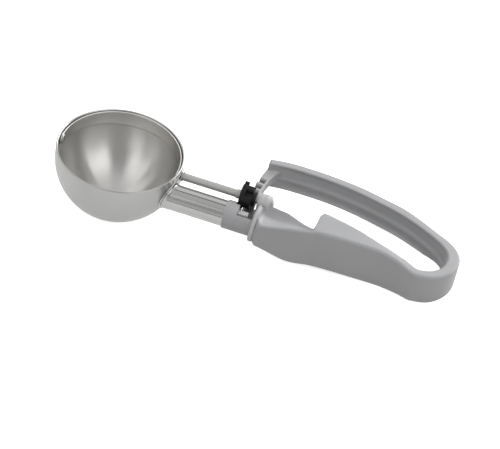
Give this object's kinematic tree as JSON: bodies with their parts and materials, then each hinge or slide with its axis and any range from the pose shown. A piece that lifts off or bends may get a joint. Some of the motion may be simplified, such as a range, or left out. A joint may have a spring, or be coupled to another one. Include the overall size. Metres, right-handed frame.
{
  "type": "ice cream scoop",
  "caption": "Lever ice cream scoop with a steel bowl, a sweeping scraper blade and a one-piece flexing plastic handle whose rack turns the blade.",
  "frame": {"origin": "centre of the bowl's mouth", "axes": "+X along the drive shaft towards the handle, +Y from the grip towards the squeeze lever, +Z out of the bowl's mouth"},
  "size_m": [0.2376, 0.076, 0.0441],
  "materials": {
    "polished_steel": "polished stainless steel",
    "satin_steel": "drawn stainless steel",
    "grey_plastic": "moulded satin plastic",
    "light_plastic": "moulded satin plastic",
    "black_plastic": "moulded plastic with a soft shine"
  },
  "bodies": {
    "frame": {"bowl": "polished_steel", "bowl_saddle": "polished_steel", "neck_bush": "satin_steel", "tip_pivot": "satin_steel", "shank_tube": "polished_steel", "shank_collar": "grey_plastic", "shank_pin": "satin_steel", "guide_clip": "light_plastic", "handle_grip": "grey_plastic", "rear_bush": "satin_steel", "flex_bend": "grey_plastic"},
    "lever": {"squeeze_lever": "grey_plastic", "rack_arm": "light_plastic"},
    "ejector": {"drive_shaft": "satin_steel", "blade_rivet": "satin_steel", "scraper_blade": "polished_steel", "front_sleeve": "satin_steel", "pinion": "black_plastic", "pinion_pin": "satin_steel", "end_cap": "light_plastic"}
  },
  "joints": [
    {"name": "squeeze", "type": "hinge", "parent": "frame", "child": "lever", "pos_m": [0.184, 0.004, -0.013], "axis": [0, 0, 1], "range_deg": [0, 9.1], "stiffness_Nm_per_rad": 15, "deforming": ["flex_bend"]},
    {"name": "eject", "type": "hinge", "parent": "frame", "child": "ejector", "pos_m": [0, 0, -0.005], "axis": [-1, 0, 0], "range_deg": [0, 180]}
  ],
  "couplings": [
    {"joint": "eject", "follows": "squeeze", "ratio": 19.773}
  ]
}
